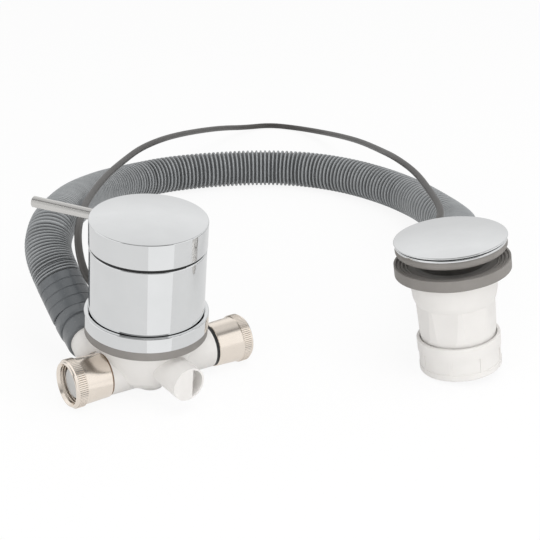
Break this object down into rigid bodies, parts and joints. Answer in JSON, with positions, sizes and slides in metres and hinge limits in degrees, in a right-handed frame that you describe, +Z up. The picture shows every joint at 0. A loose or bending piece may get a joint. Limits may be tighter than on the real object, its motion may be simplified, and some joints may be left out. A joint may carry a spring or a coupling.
{
  "type": "bath drain",
  "caption": "Bath overflow filler head with a turning knob, joined by a corrugated hose and a control cable to a pop-up waste with a domed plug.",
  "frame": {"origin": "on the floor below the middle of the head and the waste, the two cords left out", "axes": "+X from the head towards the waste, +Y back along the hose's loop, +Z up"},
  "size_m": [0.3196, 0.6225, 0.1206],
  "materials": {
    "chrome": "bright chrome plate",
    "satin_steel": "satin",
    "nickel": "warm nickel plate, knurled at the outer end",
    "white_plastic": "moulded, soft gloss",
    "grey_plastic": "matt, corrugated on the hose",
    "dark_plastic": "matt sheath",
    "grey_rubber": "matt",
    "black_rubber": "matt",
    "pale_rubber": "matt",
    "brown_fibre": "fibre washer"
  },
  "bodies": {
    "frame": {"glide_ring": "black_rubber", "drum_cover": "chrome", "spindle_bush": "white_plastic", "base_flange": "chrome", "flange_screws": "satin_steel", "overflow_gasket": "grey_rubber", "filler_body": "white_plastic", "inlet_tail_left": "white_plastic", "inlet_tail_right": "white_plastic", "inlet_washer_left": "pale_rubber", "inlet_washer_right": "pale_rubber", "nut_seal_left": "brown_fibre", "nut_seal_right": "black_rubber", "hose_cuff_head": "grey_plastic", "cable_gland_head": "dark_plastic", "waste_flange": "chrome", "flange_gasket": "grey_rubber", "body_gasket": "grey_rubber", "waste_body": "white_plastic", "rocker_pin": "satin_steel", "waste_nut": "white_plastic", "nut_washer": "grey_rubber", "hose_cuff_waste": "grey_plastic", "cable_gland_waste": "dark_plastic", "overflow_hose": "grey_plastic", "control_cable": "dark_plastic"},
    "knob": {"control_knob": "chrome", "knob_lever": "satin_steel", "spindle": "satin_steel", "cable_crank": "satin_steel"},
    "plug": {"plug_cap": "chrome", "plug_seal": "black_rubber", "plug_stem": "satin_steel"},
    "rocker": {"lift_rocker": "white_plastic"},
    "left_nut": {"inlet_nut_left": "nickel"},
    "right_nut": {"inlet_nut_right": "nickel"}
  },
  "joints": [
    {"name": "knob_turn", "type": "hinge", "parent": "frame", "child": "knob", "pos_m": [-0.07141, -0.03653, 0.099], "axis": [0.0631, -0.097, 0.9933], "range_deg": [0, 90]},
    {"name": "plug_lift", "type": "slide", "parent": "frame", "child": "plug", "axis": [-0.1271, 0, 0.9919], "range_m": [0, 0.0094]},
    {"name": "rocker_tip", "type": "hinge", "parent": "frame", "child": "rocker", "pos_m": [0.10227, -0.00476, 0.05237], "axis": [0, -1, 0], "range_deg": [0, 32.1]},
    {"name": "left_nut_turn", "type": "hinge", "parent": "frame", "child": "left_nut", "pos_m": [-0.12226, -0.05872, 0.0152], "axis": [-0.8318, -0.555, -0.0013], "continuous": true},
    {"name": "right_nut_turn", "type": "hinge", "parent": "frame", "child": "right_nut", "pos_m": [-0.01659, 0.01178, 0.01537], "axis": [0.8318, 0.555, 0.0013], "continuous": true}
  ],
  "couplings": [
    {"joint": "plug_lift", "follows": "knob_turn", "m_per_rad": 0.0059664},
    {"joint": "rocker_tip", "follows": "knob_turn", "ratio": 0.35556}
  ]
}
